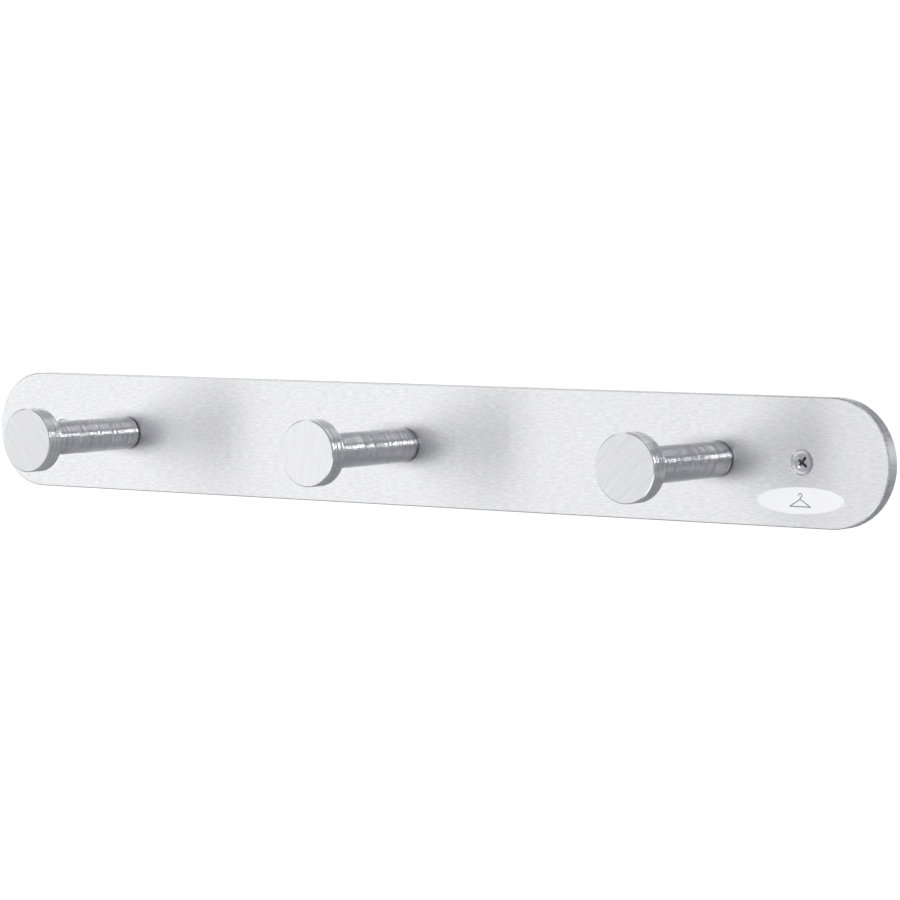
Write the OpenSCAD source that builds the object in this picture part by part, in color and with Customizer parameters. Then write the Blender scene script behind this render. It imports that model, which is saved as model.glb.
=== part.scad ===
// Wall hook rack: a flat bar with half-round ends and three nail-head pegs.
// Millimetres. X runs along the bar, Y into the wall, Z up.
// The origin is the centre of the bar's back face, so the pegs stand out towards -Y.

/* [Back plate] */
// Length of the plate, end to end
plate_l = 457.2; // [400:0.1:700]
// Height of the plate, and the diameter of its half-round ends
plate_h = 50; // [38:0.5:80]
// Thickness of the plate
plate_t = 6; // [5:0.25:10]
// Bevel around the plate's front edge
front_bevel = 0.4; // [0.2:0.1:1]
// Bevel around the plate's back edge
back_bevel = 0.2; // [0.1:0.1:0.6]

/* [Pegs] */
// Distance from each end of the plate to the nearest peg's centre
peg_inset = 76.2; // [60:0.1:110]
// How far a peg stands out from the plate's front face
peg_reach = 63.5; // [40:0.5:100]
// Diameter of a peg's shank
shank_d = 14.2; // [12:0.1:20]
// Bevel around the foot of the shank, where it meets the plate
foot_bevel = 0.5; // [0.2:0.1:1]
// Diameter of a peg's head
head_d = 26.8; // [22:0.1:40]
// Thickness of a peg's head
head_t = 8.2; // [7:0.1:14]
// Bevel around the front face of the head
face_bevel = 0.4; // [0.2:0.1:1]
// Bevel around the back of the head
rear_bevel = 0.8; // [0.4:0.1:1.5]
// Diameter of the spigot that the head is pressed on
spigot_d = 8; // [7:0.1:10]
// Length of the spigot
spigot_l = 5; // [3:0.1:6]

/* [Peg screws] */
// Thread diameter of the machine screw behind each peg
peg_screw_d = 5; // [4:0.5:6]
// Length of the peg screw, over its head
peg_screw_l = 16; // [14:1:25]
// Diameter of the peg screw's countersunk head
peg_screw_head_d = 9.6; // [8:0.1:11]
// Included angle under the peg screw's head
peg_screw_angle = 90; // [82:1:100]
// Width across the flats of the hexagon key socket
key_w = 3; // [2:0.5:4]
// Depth of the key socket
key_depth = 2; // [1.5:0.1:2.6]

/* [Wall screws] */
// Distance from each end of the plate to the wall screw's centre
wall_screw_inset = 38.1; // [28:0.1:46]
// Thread diameter of the wall screw
wall_screw_d = 4.8; // [4:0.1:5.5]
// Diameter at the root of the wall screw's thread
wall_screw_root_d = 3.4; // [2.8:0.1:3.8]
// Length of the wall screw, over its head
wall_screw_l = 38.1; // [32:0.1:50]
// Length of the plain neck under the head
wall_neck_l = 8; // [7:0.5:12]
// Length of the pointed tip
wall_tip_l = 4; // [3:0.5:6]
// Distance from one thread to the next
thread_pitch = 2; // [1.5:0.1:2.5]
// Diameter of the wall screw's countersunk head
wall_screw_head_d = 9; // [8:0.1:10]
// How far the head's rim falls away below its flat top
crown_drop = 0.2; // [0.1:0.05:0.4]
// Width of the sloping ring between the flat top and the rim
crown_w = 1; // [0.6:0.1:1.2]
// Included angle under the wall screw's head
wall_screw_angle = 82; // [80:1:100]
// Width of the cross recess, tip to tip
cross_w = 5.4; // [4:0.1:6]
// Width of one slot of the cross recess
cross_slot = 1.1; // [0.8:0.1:1.6]
// Depth of the cross recess
cross_depth = 2.4; // [1.6:0.1:2.8]
// How far the left screw's cross is turned
cross_turn_left = 15; // [0:1:89]
// How far the right screw's cross is turned
cross_turn_right = 38; // [0:1:89]

/* [Wall anchors] */
// Diameter of the plastic anchor, and of the hole drilled for it
anchor_d = 8; // [7.5:0.1:10]
// Length of the anchor
anchor_l = 25; // [20:1:30]
// How far the anchor is driven below the wall's surface
anchor_sink = 3; // [2.5:0.1:5]
// Depth of the grip grooves around the anchor
grip_depth = 0.5; // [0.2:0.1:0.8]
// Width of one grip groove
grip_w = 1; // [0.6:0.1:1.2]
// Distance from one grip groove to the next
grip_pitch = 3; // [2:0.5:4]
// Width of the slit that lets the anchor spread
slit_w = 1; // [0.6:0.1:1.6]
// Length of the slit, from the anchor's far end
slit_l = 16; // [10:1:20]

/* [Label] */
// Length of the oval label
label_w = 38.4; // [30:0.1:44]
// Height of the oval label
label_h = 10.2; // [8:0.1:12]
// Thickness of the label
label_t = 0.15; // [0.1:0.05:0.4]
// How far the label's centre lies below the right wall screw
label_drop = 14.5; // [12:0.1:15]
// How far the label's centre lies to the left of the right wall screw
label_shift = 0.6; // [0:0.1:4]
// Tilt of the label, as stuck on by hand
label_tilt = 1; // [-3:0.5:3]

/* [Clearances] */
// Gap around a screw's thread in a plain or tapped hole
thread_gap = 0.05; // [0.02:0.01:0.1]
// Gap around a screw in its hole through the plate
hole_gap = 0.3; // [0.2:0.05:0.5]
// How far the top of a screw's head sits below the face of the plate
head_sink = 0.1; // [0.05:0.05:0.3]
// Straight edge around a countersunk head
head_edge = 0.25; // [0.1:0.05:0.4]
// Space left at the bottom of a blind hole
bottom_gap = 0.5; // [0.2:0.1:1]
// Bevel that leads a spigot or a machine screw into its hole
lead_bevel = 0.4; // [0.2:0.1:0.6]

/* [Hidden] */
$fn = 96;

past = 1;            // how far a cutting tool runs past the face it cuts
drill_point = 118;   // included angle at the bottom of a drilled hole
oval_sides = 72;     // straight sides that make up the label's outline
crest_share = 0.5;   // where a thread ridge peaks, as a share of the thread's pitch
ridge_share = 0.75;  // where a thread ridge ends, as a share of the thread's pitch

// Places along the plate
peg_x = plate_l / 2 - peg_inset;
wall_screw_x = plate_l / 2 - wall_screw_inset;

// Places through the rack, from the wall towards the room
face_y = -plate_t;
head_back_y = face_y - peg_reach + head_t;
head_face_y = face_y - peg_reach;
spigot_end_y = head_back_y - spigot_l;
wall_screw_y = face_y + head_sink;
peg_screw_end_y = peg_screw_l + head_sink;
neck_end_y = wall_screw_y + wall_neck_l;
tip_start_y = wall_screw_y + wall_screw_l - wall_tip_l;
thread_turns = floor((tip_start_y - neck_end_y) / thread_pitch);
grip_count = floor((anchor_l - grip_pitch) / grip_pitch);

// How long a cone of this included angle is between two radii
function cone_l(r_wide, r_narrow, angle) = (r_wide - r_narrow) / tan(angle / 2);

// Turns an outline of [radius, y] points about the Y axis
module turned(outline) {
    rotate([-90, 0, 0]) rotate_extrude() polygon(outline);
}

// A drilled and countersunk hole, entering a face at y = 0 towards +Y.
// The head's rim starts at a depth of rim_y under the top of the head.
module countersunk_hole(screw_d, head_d, angle, rim_y) {
    hole_r = screw_d / 2 + hole_gap;
    mouth_r = head_d / 2 + (head_sink + rim_y + head_edge) * tan(angle / 2);
    turned([
        [0, -past],
        [mouth_r + past * tan(angle / 2), -past],
        [hole_r, cone_l(mouth_r, hole_r, angle)],
        [hole_r, plate_t + past],
        [0, plate_t + past]
    ]);
}

// Outline of a countersunk head from its rim at y = rim_y down to the screw's neck
function countersunk_head(screw_d, head_d, angle, rim_y) = [
    [head_d / 2, rim_y],
    [head_d / 2, rim_y + head_edge],
    [screw_d / 2, rim_y + head_edge + cone_l(head_d / 2, screw_d / 2, angle)]
];

// Cross recess cut into a head whose top is at y = 0, narrowing as it goes in
module cross_recess(turn) {
    flare = (cross_w - cross_slot) / cross_depth * past;
    rotate([-90, turn, 0]) intersection() {
        union() {
            cube([cross_w, cross_slot, 2 * cross_depth], center = true);
            cube([cross_slot, cross_w, 2 * cross_depth], center = true);
        }
        translate([0, 0, -past])
            cylinder(h = cross_depth + past, d1 = cross_w + flare, d2 = cross_slot);
    }
}

module plate_end() {
    r = plate_h / 2;
    turned([
        [0, face_y],
        [r - front_bevel, face_y],
        [r, face_y + front_bevel],
        [r, -back_bevel],
        [r - back_bevel, 0],
        [0, 0]
    ]);
}

module plate_bar() {
    r = plate_h / 2;
    rotate([90, 0, 90]) linear_extrude(plate_l - plate_h, center = true) polygon([
        [face_y, front_bevel - r],
        [face_y + front_bevel, -r],
        [-back_bevel, -r],
        [0, back_bevel - r],
        [0, r - back_bevel],
        [-back_bevel, r],
        [face_y + front_bevel, r],
        [face_y, r - front_bevel]
    ]);
}

module back_plate() {
    color("gainsboro") difference() {
        union() {
            plate_bar();
            for (side = [-1, 1]) translate([side * (plate_l - plate_h) / 2, 0, 0]) plate_end();
        }
        for (x = [-peg_x, 0, peg_x]) translate([x, 0, 0]) rotate([0, 0, 180])
            countersunk_hole(peg_screw_d, peg_screw_head_d, peg_screw_angle, 0);
        for (x = [-wall_screw_x, wall_screw_x]) translate([x, face_y, 0])
            countersunk_hole(wall_screw_d, wall_screw_head_d, wall_screw_angle, crown_drop);
    }
}

module oval_label() {
    outline = [for (i = [0 : oval_sides - 1]) let (a = 360 * i / oval_sides)
        [label_w / 2 * cos(a), label_h / 2 * sin(a)]];
    color("white")
        translate([wall_screw_x - label_shift, face_y, -label_drop])
        rotate([90, -label_tilt, 0])
        linear_extrude(label_t) polygon(outline);
}

// Shank of a peg: a spigot at its front end and a tapped hole in its foot
module peg_shank(x) {
    r = shank_d / 2;
    tapped_r = peg_screw_d / 2 + thread_gap;
    hole_end_y = -peg_screw_end_y - bottom_gap;
    color("darkgray") translate([x, 0, 0]) turned([
        [0, spigot_end_y],
        [spigot_d / 2 - lead_bevel, spigot_end_y],
        [spigot_d / 2, spigot_end_y + lead_bevel],
        [spigot_d / 2, head_back_y],
        [r, head_back_y],
        [r, face_y - foot_bevel],
        [r - foot_bevel, face_y],
        [tapped_r, face_y],
        [tapped_r, hole_end_y],
        [0, hole_end_y - cone_l(tapped_r, 0, drill_point)]
    ]);
}

// Head of a peg: a disc with a blind socket in its back, pressed on the spigot
module peg_head(x) {
    r = head_d / 2;
    socket_y = spigot_end_y - bottom_gap;
    color("lightgray") translate([x, 0, 0]) turned([
        [0, head_face_y],
        [r - face_bevel, head_face_y],
        [r, head_face_y + face_bevel],
        [r, head_back_y - rear_bevel],
        [r - rear_bevel, head_back_y],
        [spigot_d / 2, head_back_y],
        [spigot_d / 2, socket_y],
        [0, socket_y]
    ]);
}

// Countersunk machine screw that enters from behind and holds one peg
module peg_screw(x) {
    r = peg_screw_d / 2;
    color("dimgray") translate([x, -head_sink, 0]) rotate([0, 0, 180]) difference() {
        turned(concat(
            [[0, 0]],
            countersunk_head(peg_screw_d, peg_screw_head_d, peg_screw_angle, 0),
            [[r, peg_screw_l - lead_bevel], [r - lead_bevel, peg_screw_l], [0, peg_screw_l]]
        ));
        rotate([-90, 0, 0]) translate([0, 0, -past])
            cylinder(h = key_depth + past, d = key_w / cos(30), $fn = 6);
    }
}

// Countersunk screw with a plain neck, ridged thread and point, for one end of the plate
module wall_screw(x, turn) {
    root_r = wall_screw_root_d / 2;
    ridges = [for (i = [0 : thread_turns - 1]) let (y = wall_neck_l + i * thread_pitch) each [
        [root_r, y],
        [wall_screw_d / 2, y + thread_pitch * crest_share],
        [root_r, y + thread_pitch * ridge_share]
    ]];
    color("silver") translate([x, wall_screw_y, 0]) difference() {
        turned(concat(
            [[0, 0], [wall_screw_head_d / 2 - crown_w, 0]],
            countersunk_head(wall_screw_d, wall_screw_head_d, wall_screw_angle, crown_drop),
            [[wall_screw_d / 2, wall_neck_l]],
            ridges,
            [[root_r, wall_screw_l - wall_tip_l], [0, wall_screw_l]]
        ));
        cross_recess(turn);
    }
}

// Split plastic anchor in the wall, around the screw's thread
module wall_anchor(x) {
    bore_d = wall_screw_d + 2 * thread_gap;
    color("lightslategray") translate([x, anchor_sink, 0]) rotate([-90, 0, 0]) difference() {
        cylinder(h = anchor_l, d = anchor_d);
        translate([0, 0, -past]) cylinder(h = anchor_l + 2 * past, d = bore_d);
        for (i = [1 : grip_count]) translate([0, 0, i * grip_pitch]) difference() {
            cylinder(h = grip_w, d = anchor_d + past);
            translate([0, 0, -past]) cylinder(h = grip_w + 2 * past, d = anchor_d - 2 * grip_depth);
        }
        translate([-slit_w / 2, -anchor_d, anchor_l - slit_l])
            cube([slit_w, 2 * anchor_d, slit_l + past]);
    }
}

back_plate();
oval_label();
peg_shank(-peg_x);  // peg_shank_left
peg_shank(0);  // peg_shank_center
peg_shank(peg_x);  // peg_shank_right
peg_head(-peg_x);  // peg_head_left
peg_head(0);  // peg_head_center
peg_head(peg_x);  // peg_head_right
peg_screw(-peg_x);  // peg_screw_left
peg_screw(0);  // peg_screw_center
peg_screw(peg_x);  // peg_screw_right
wall_screw(-wall_screw_x, cross_turn_left);  // wall_screw_left
wall_screw(wall_screw_x, cross_turn_right);  // wall_screw_right
wall_anchor(-wall_screw_x);  // wall_anchor_left
wall_anchor(wall_screw_x);  // wall_anchor_right
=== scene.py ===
import math

import bmesh
import bpy
from mathutils import Matrix, Vector


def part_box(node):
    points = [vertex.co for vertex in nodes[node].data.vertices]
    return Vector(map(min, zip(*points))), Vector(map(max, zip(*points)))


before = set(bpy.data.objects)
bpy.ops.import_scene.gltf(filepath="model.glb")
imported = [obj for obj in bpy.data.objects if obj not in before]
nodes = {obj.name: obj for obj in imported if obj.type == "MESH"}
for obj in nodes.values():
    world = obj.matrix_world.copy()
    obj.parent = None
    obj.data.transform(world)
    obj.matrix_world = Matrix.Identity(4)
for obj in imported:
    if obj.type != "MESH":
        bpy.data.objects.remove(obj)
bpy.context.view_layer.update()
MM = 0.001
QUARTER_TURN = 0.25

# Where the camera stands: turned to the rack's right, a little above it, with a long lens
VIEW_AZIMUTH = 37.0
VIEW_ELEVATION = 3.716
VIEW_ROLL = -0.241
VIEW_DISTANCE = 1.49876
VIEW_RIGHT = 0.015174
VIEW_UP = -0.002342
LENS_MM = 145.54
SENSOR_MM = 36.0

# The studio
FLOOR_DROP = 0.9
FLOOR_RADIUS = 30.0
ROOM_TINT = (0.93, 0.94, 1.0, 1.0)

# What the CAD says about the places that the finishes follow
plate_low, plate_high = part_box("back_plate")
plate_front = plate_low[1]
PEGS = ("left", "center", "right")
head_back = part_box("peg_head_left")[1][1]

# The coat hanger printed on the label, from its middle
HANGER_W = 4.6 * MM
HANGER_FOOT = -2.3 * MM
HANGER_NECK = 0.5 * MM
HOOK_CENTRE = 1.9 * MM
HOOK_R = 0.75 * MM
INK_W = 0.42 * MM

# Painted shade beside the foot of each peg, standing in for the peg's dark reflection and shade in the
# plate, stretched along the grain: where it starts, and where it is gone
PEG_SHADE_FROM = 4.5 * MM
PEG_SHADE_TO = 11.5 * MM
PEG_SHADE_DRAG = 0.42

# How squarely a surface looks along Y where its flat faces and its bevels begin and end
FLAT_FROM = 0.9
FLAT_TO = 0.99
BEVEL_FROM = 0.45
BEVEL_TO = 0.65

# Lathe rings around the Y axis: how deep they are, and how much of that is the coarser ones
RING_DEPTH = 0.13 * MM
COARSE_SHARE = 0.06

# Relief of the fine grain on a brushed face
GRAIN_DEPTH = 0.02 * MM

# Colours that several finishes share
WORN_EDGE = (0.92, 0.92, 0.92, 1.0)
# Painted shade for the screws' recesses
RECESS_PAINTED_SHADE = (0.08, 0.08, 0.09, 1.0)
# Painted shade for both ends of the shanks
SHANK_END_SHADE = (0.12, 0.12, 0.13, 1.0)
# Painted shade beside each peg's foot, for the peg's reflection and shade in the plate
PEG_SHADE = (0.3, 0.3, 0.32, 1.0)
INK = (0.13, 0.13, 0.14, 1.0)
WHITE = (1, 1, 1, 1)


def middle(name):
    low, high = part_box(name)
    return (Vector(low) + Vector(high)) / 2


class Value:
    """A socket in a web of nodes. A sum on it adds the Math node that works the sum out."""

    def __init__(self, web, socket):
        self.web = web
        self.socket = socket

    def math(self, operation, *terms):
        return self.web.add("Math", {"operation": operation}, dict(enumerate(terms)))

    def __add__(self, other):
        return self.math("ADD", self, other)

    __radd__ = __add__

    def __sub__(self, other):
        return self.math("SUBTRACT", self, other)

    def __rsub__(self, other):
        return self.math("SUBTRACT", other, self)

    def __mul__(self, other):
        return self.math("MULTIPLY", self, other)

    __rmul__ = __mul__

    def __truediv__(self, other):
        return self.math("DIVIDE", self, other)

    def __pow__(self, other):
        return self.math("POWER", self, other)

    def __abs__(self):
        return self.math("ABSOLUTE", self)


class Web:
    """A tree of nodes, built one node at a time."""

    def __init__(self, tree):
        self.tree = tree

    def add(self, kind, settings=None, sockets=None, out=0):
        """Add a node: its settings first, then the values or links of its sockets."""
        node = self.tree.nodes.new("ShaderNode" + kind)
        for name, value in (settings or {}).items():
            setattr(node, name, value)
        for name, value in (sockets or {}).items():
            self.feed(node.inputs[name], value)
        return Value(self, node.outputs[out])

    def feed(self, socket, value):
        if isinstance(value, Value):
            self.tree.links.new(value.socket, socket)
        else:
            socket.default_value = value


class Finish(Web):
    """One material: a Principled shader, and the nodes that vary it over the surface."""

    def __init__(self, name, metallic=1.0):
        self.material = bpy.data.materials.new(name)
        self.material.use_nodes = True
        super().__init__(self.material.node_tree)
        self.shader = self.tree.nodes["Principled BSDF"]
        self.set("Metallic", metallic)
        self.place = self.add("TexCoord", out="Object")
        self.x, self.y, self.z = self.split(self.place)

    def set(self, name, value):
        self.feed(self.shader.inputs[name], value)

    def split(self, vector):
        first = self.add("SeparateXYZ", {}, {0: vector})
        return [Value(self, output) for output in first.socket.node.outputs]

    def shifted(self, centre):
        return self.add("VectorMath", {"operation": "SUBTRACT"}, {0: self.place, 1: centre})

    def noise(self, per_metre, detail=2.0, place=None, roughness=0.5):
        """Noise with its own count of features to the metre along each axis."""
        scaled = self.add("VectorMath", {"operation": "MULTIPLY"}, {0: place or self.place, 1: per_metre})
        sockets = {"Vector": scaled, "Scale": 1.0, "Detail": detail, "Roughness": roughness}
        return self.add("TexNoise", {"noise_dimensions": "3D"}, sockets, out="Fac")

    def ramp(self, value, start, end, low=0.0, high=1.0, kind="SMOOTHSTEP"):
        """A step: low up to the start, high from the end."""
        sockets = {"Value": value, "From Min": start, "From Max": end, "To Min": low, "To Max": high}
        return self.add("MapRange", {"interpolation_type": kind}, sockets)

    def mix(self, factor, first, second):
        return self.add("Mix", {"data_type": "RGBA"}, {0: factor, 6: first, 7: second}, out=2)

    def shade(self, factor, dark, light):
        return self.mix(factor, (*dark, 1.0), (*light, 1.0))

    def bump(self, height, depth, under=None):
        """Relief as deep as this, in metres."""
        sockets = {"Height": height, "Distance": depth, "Strength": 1.0}
        if under:
            sockets["Normal"] = under
        return self.add("Bump", {}, sockets)

    def stroke(self, u, w, start, end):
        """How far a point is from the straight stroke between two points."""
        du, dw = end[0] - start[0], end[1] - start[1]
        share = ((u - start[0]) * du + (w - start[1]) * dw) / (du * du + dw * dw)
        share = self.ramp(share, 0.0, 1.0, kind="LINEAR")
        return ((u - start[0] - share * du) ** 2 + (w - start[1] - share * dw) ** 2) ** 0.5

    def to_nearest_peg(self, along):
        """How far a point is from the axis of the nearest peg, counting X by this share."""
        near = None
        for side in PEGS:
            axis = middle("peg_shank_" + side)
            far = (((self.x - axis.x) * along) ** 2 + (self.z - axis.z) ** 2) ** 0.5
            near = near.math("MINIMUM", near, far) if near else far
        return near

    def flats_and_bevels(self):
        """Masks of the flat faces and of the bevels around them, by how squarely they look along Y."""
        across = abs(self.split(self.add("TexCoord", out="Normal"))[1])
        flat = self.ramp(across, FLAT_FROM, FLAT_TO)
        return flat, self.ramp(across, BEVEL_FROM, BEVEL_TO) * (1 - flat)

    def lathe_rings(self):
        """The coarse rings around the Y axis, and the height that they make with the fine ones."""
        fine = self.noise((12, 7000, 12), 0.0)
        coarse = self.noise((25, 1100, 25), 3.0)
        return coarse, fine * (1 - COARSE_SHARE) + coarse * COARSE_SHARE


def brushed_plate():
    """Aluminium brushed along its length, with milled edges, turned countersinks, and a dark fan of
    painted shade beside each peg's foot.
    """
    f = Finish("brushed_plate")
    fine = f.noise((620, 1, 3400), 3.0, roughness=0.6)
    streaks = f.noise((300, 1, 1900), 3.0)
    long_lines = f.noise((60, 1, 2300), 2.0)
    smudges = f.noise((24, 1, 36), 3.0)
    grain = fine * 0.35 + streaks * 0.5 + long_lines * 0.15
    flat, bevel = f.flats_and_bevels()
    mill_marks = f.noise((900, 260, 900), 3.0)
    layers = f.noise((12, 520, 12), 2.0)
    tone = f.ramp(grain, 0.36, 0.64) * 0.85 + smudges * 0.15
    clean = f.shade(tone, (0.77, 0.77, 0.77), (0.98, 0.98, 0.975))
    front = f.ramp(f.y, plate_front + MM, plate_front)
    # Painted shade: a dark fan beside each peg's foot on the front face, in place of the peg's reflection
    # and shade in the plate
    painted_peg_shade = f.ramp(f.to_nearest_peg(PEG_SHADE_DRAG), PEG_SHADE_FROM, PEG_SHADE_TO, 1.0, 0.0) * front
    face = f.mix(painted_peg_shade * (0.4 + smudges * 0.3), clean, PEG_SHADE)
    side_tone = f.ramp(mill_marks * 0.4 + layers * 0.6, 0.38, 0.62)
    side = f.shade(side_tone, (0.5, 0.505, 0.525), (0.82, 0.82, 0.84))
    worn = f.mix(bevel * 0.8, side, WORN_EDGE)
    f.set("Base Color", f.mix(flat, worn, face))
    face_rough = 0.22 + grain * 0.14 + smudges * 0.06
    side_rough = 0.3 + mill_marks * 0.2 - bevel * 0.12
    f.set("Roughness", face_rough * flat + side_rough * (1 - flat))
    relief = f.bump(grain * flat, GRAIN_DEPTH)
    f.set("Normal", f.bump(mill_marks * (1 - flat), 0.01 * MM, relief))
    f.set("Anisotropic", 0.75)
    f.set("Anisotropic Rotation", QUARTER_TURN)
    return f.material


def turned_peg():
    """Aluminium bar as it comes off the lathe: fine rings around the Y axis, and painted shade where it
    meets the plate and just behind the head.
    """
    f = Finish("turned_peg")
    coarse, rings = f.lathe_rings()
    marks = f.noise((260, 420, 260), 3.0)
    tone = f.ramp(coarse * 0.7 + marks * 0.3, 0.35, 0.65)
    metal = f.shade(tone, (0.67, 0.675, 0.705), (0.87, 0.87, 0.895))
    # Painted shade: darker towards the plate at the shank's foot, and just behind the head at its neck
    foot = f.ramp(f.y, plate_front - 1.6 * MM, plate_front - 0.2 * MM)
    neck = f.ramp(f.y, head_back + 1.5 * MM, head_back + 0.2 * MM)
    f.set("Base Color", f.mix(foot * 0.7 + neck * 0.45, metal, SHANK_END_SHADE))
    f.set("Roughness", 0.165 + marks * 0.06 + coarse * 0.03)
    f.set("Normal", f.bump(rings, RING_DEPTH))
    return f.material


def peg_head(name, angle, dark, light):
    """A disc with a straight-grained face, its grain turned by an angle, and a turned rim. The face's dark
    and light colours are painted light and shade, so that each head gets its own brightness.
    """
    f = Finish("head_" + name)
    turn = {0: f.shifted(middle("peg_head_" + name)), "Rotation": (0, math.radians(angle), 0)}
    along = f.add("Mapping", {"vector_type": "POINT"}, turn)
    fine = f.noise((120, 1, 3600), 3.0, along)
    wide = f.noise((30, 1, 1000), 2.0, along)
    coarse, rings = f.lathe_rings()
    knurl = f.noise((1300, 1300, 1300), 2.0)
    flat, bevel = f.flats_and_bevels()
    grain = fine * 0.5 + wide * 0.5
    face = f.shade(f.ramp(grain, 0.3, 0.7), dark, light)
    turned = f.ramp(coarse * 0.6 + knurl * 0.4, 0.36, 0.64)
    rim = f.shade(turned, (0.66, 0.665, 0.68), (0.89, 0.89, 0.91))
    worn = f.mix(bevel * 0.7, rim, WORN_EDGE)
    f.set("Base Color", f.mix(flat, worn, face))
    rim_rough = 0.17 + coarse * 0.07 + bevel * 0.02
    f.set("Roughness", (0.26 + grain * 0.1) * flat + rim_rough * (1 - flat))
    relief = f.bump(grain * flat, GRAIN_DEPTH)
    f.set("Normal", f.bump(rings * (1 - flat - bevel), RING_DEPTH, relief))
    return f.material


def zinc(name, dark, light, roughness):
    """Zinc plate: a faint spangle and a dull bloom, and painted shade behind the plate's front face."""
    f = Finish(name)
    spangle = f.noise((1500, 1500, 1500), 3.0)
    bloom = f.noise((300, 300, 300), 3.0)
    plated = f.shade(spangle * 0.6 + bloom * 0.4, dark, light)
    # Painted shade for the recesses: everything more than about a millimetre behind the plate's front is
    # darkened, which also darkens the peg screws and the wall screws' shafts
    deep = f.ramp(f.y, plate_front + 0.35 * MM, plate_front + 1.1 * MM)
    f.set("Base Color", f.mix(deep * 0.6, plated, RECESS_PAINTED_SHADE))
    f.set("Roughness", roughness + bloom * 0.12)
    f.set("Normal", f.bump(spangle, 0.01 * MM))
    return f.material


def anchor_nylon():
    """Moulded grey nylon."""
    f = Finish("anchor_nylon", metallic=0.0)
    skin = f.noise((2400, 2400, 2400), 3.0)
    flow = f.noise((120, 40, 120), 2.0)
    f.set("Base Color", f.shade(flow, (0.3, 0.32, 0.36), (0.4, 0.42, 0.46)))
    f.set("Roughness", 0.42 + skin * 0.16)
    f.set("Normal", f.bump(skin, 0.02 * MM))
    return f.material


def label_film():
    """Satin white film, printed with a plain coat hanger."""
    f = Finish("label_film", metallic=0.0)
    skin = f.noise((1800, 1800, 1800), 3.0)
    white = f.shade(skin, (0.92, 0.92, 0.915), (0.96, 0.96, 0.955))
    u, _, w = f.split(f.shifted(middle("oval_label")))
    near = f.stroke(u, w, (-HANGER_W, HANGER_FOOT), (HANGER_W, HANGER_FOOT))
    for side in (-1, 1):
        near = near.math("MINIMUM", near, f.stroke(u, w, (0, HANGER_NECK), (side * HANGER_W, HANGER_FOOT)))
    near = near.math("MINIMUM", near, f.stroke(u, w, (0, HANGER_NECK), (0, HOOK_CENTRE - HOOK_R)))
    hook = abs((u ** 2 + (w - HOOK_CENTRE) ** 2) ** 0.5 - HOOK_R)
    open_side = f.ramp(u, 0, -INK_W) * f.ramp(w, HOOK_CENTRE, HOOK_CENTRE - INK_W)
    near = near.math("MINIMUM", near, hook + open_side * INK_W)
    ink = f.ramp(near, INK_W * 0.4, INK_W * 0.6, 1.0, 0.0)
    f.set("Base Color", f.mix(ink * 0.85, white, INK))
    f.set("Roughness", 0.4 + skin * 0.1)
    f.set("Normal", f.bump(skin, 0.004 * MM))
    return f.material


def dress(name, material):
    """Give a CAD node its finish."""
    slots = nodes[name].data.materials
    slots.clear()
    slots.append(material)


def spherical(azimuth, elevation):
    """The direction from the rack to somebody standing at this azimuth and elevation, in degrees."""
    a, e = math.radians(azimuth), math.radians(elevation)
    return Vector((math.sin(a) * math.cos(e), -math.cos(a) * math.cos(e), math.sin(e)))


def looking_along(back, roll=0.0):
    """The turn of a camera or lamp whose back faces this way, with its top up."""
    side = Vector((0, 0, 1)).cross(back).normalized()
    top = back.cross(side)
    r = math.radians(roll)
    side, top = side * math.cos(r) + top * math.sin(r), top * math.cos(r) - side * math.sin(r)
    return Matrix((side, top, back)).transposed()


def add_camera():
    data = bpy.data.cameras.new("camera")
    data.sensor_width = SENSOR_MM
    data.lens = LENS_MM
    data.clip_end = 50
    camera = bpy.data.objects.new("camera", data)
    back = spherical(VIEW_AZIMUTH, VIEW_ELEVATION)
    turn = looking_along(back, VIEW_ROLL)
    place = turn @ Vector((VIEW_RIGHT, VIEW_UP, VIEW_DISTANCE))
    camera.matrix_world = Matrix.Translation(place) @ turn.to_4x4()
    bpy.context.scene.collection.objects.link(camera)
    bpy.context.scene.camera = camera


def add_softbox(name, azimuth, elevation, distance, width, height, radiance, mirrored=True):
    """A soft rectangular lamp that faces the rack. Its radiance is how bright its face looks."""
    data = bpy.data.lights.new(name, "AREA")
    data.shape = "RECTANGLE"
    data.size = width
    data.size_y = height
    data.energy = radiance * math.pi * width * height
    lamp = bpy.data.objects.new(name, data)
    back = spherical(azimuth, elevation)
    lamp.matrix_world = Matrix.Translation(back * distance) @ looking_along(back).to_4x4()
    lamp.visible_camera = False
    lamp.visible_glossy = mirrored
    bpy.context.scene.collection.objects.link(lamp)


def add_world(light):
    """A plain world: white where it is seen, and a dim cool room for the light it gives."""
    world = bpy.data.worlds.new("studio")
    world.use_nodes = True
    tree = world.node_tree
    tree.nodes.remove(tree.nodes["Background"])
    web = Web(tree)
    seen = web.add("LightPath", out="Is Camera Ray")
    room = web.add("Background", {}, {"Color": ROOM_TINT, "Strength": light})
    white = web.add("Background", {}, {"Color": WHITE})
    pick = web.add("MixShader", {}, {0: seen, 1: room, 2: white})
    web.feed(tree.nodes["World Output"].inputs["Surface"], pick)
    bpy.context.scene.world = world


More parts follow.
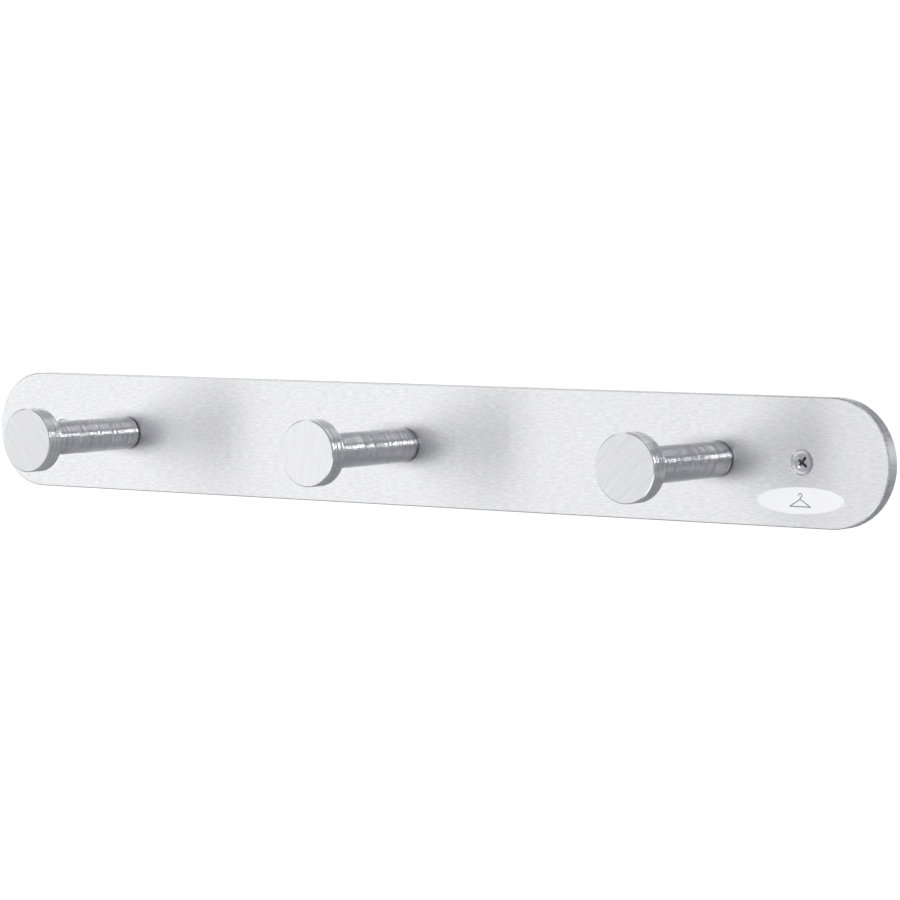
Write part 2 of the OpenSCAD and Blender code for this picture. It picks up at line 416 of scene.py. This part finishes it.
def add_floor():
    """A plain pale floor, well below the rack, as bright as the world that it meets."""
    mesh = bmesh.new()
    bmesh.ops.create_circle(mesh, cap_ends=True, radius=FLOOR_RADIUS, segments=64)
    bmesh.ops.translate(mesh, vec=(0, 0, plate_low[2] - FLOOR_DROP), verts=mesh.verts)
    data = bpy.data.meshes.new("floor")
    mesh.to_mesh(data)
    mesh.free()
    floor = bpy.data.objects.new("floor", data)
    bpy.context.scene.collection.objects.link(floor)
    f = Finish("pale_floor", metallic=0.0)
    f.set("Base Color", (0.8, 0.8, 0.8, 1))
    f.set("Roughness", 0.9)
    f.set("Emission Color", WHITE)
    f.set("Emission Strength", 0.8)
    data.materials.append(f.material)
    floor.visible_glossy = False
    floor.visible_diffuse = False


add_camera()
add_world(light=0.36)
add_floor()
# Azimuth and elevation in degrees, then distance, width and height in metres, and the radiance
add_softbox("key_softbox", -51, 2, 1.6, 2.0, 2.4, 0.69)
add_softbox("top_softbox", 0, 62, 1.2, 1.2, 1.0, 2.2, mirrored=False)
add_softbox("table_softbox", 0, -65, 0.8, 1.3, 0.9, 1.3, mirrored=False)
add_softbox("low_panel", 52, -38, 0.9, 0.35, 0.9, 0.85)
add_softbox("back_panel", -146, 8, 1.6, 1.4, 0.8, 1.1)
add_softbox("side_lamp", 82, 19, 1.6, 0.4, 0.42, 15.0)
add_softbox("upper_panel", 86, 60, 1.4, 0.8, 0.9, 1.5)
add_softbox("edge_lamp", 143, 8, 1.6, 0.3, 0.14, 4.0)
add_softbox("bevel_panel", -84, 53, 1.4, 0.6, 0.6, 0.6)
bpy.context.scene.view_settings.view_transform = "Standard"

dress("back_plate", brushed_plate())
shank_finish = turned_peg()
screw_finish = zinc("zinc_screw", (0.42, 0.43, 0.45), (0.58, 0.59, 0.61), 0.3)
wall_screw_finish = zinc("wall_screw", (0.66, 0.66, 0.68), (0.82, 0.82, 0.84), 0.22)
nylon = anchor_nylon()
# Each head's grain angle, then the dark and light colours of its face: the three heads' different
# brightness is painted light and shade, not a different finish
HEAD_GRAIN_AND_PAINTED_TONE = {
    "left": (-48, (0.71, 0.71, 0.715), (0.83, 0.83, 0.83)),
    "center": (82, (0.81, 0.81, 0.81), (0.92, 0.92, 0.915)),
    "right": (42, (0.74, 0.74, 0.75), (0.9, 0.9, 0.9)),
}
for side in PEGS:
    dress("peg_shank_" + side, shank_finish)
    dress("peg_head_" + side, peg_head(side, *HEAD_GRAIN_AND_PAINTED_TONE[side]))
    dress("peg_screw_" + side, screw_finish)
for side in ("left", "right"):
    dress("wall_screw_" + side, wall_screw_finish)
    dress("wall_anchor_" + side, nylon)
dress("oval_label", label_film())
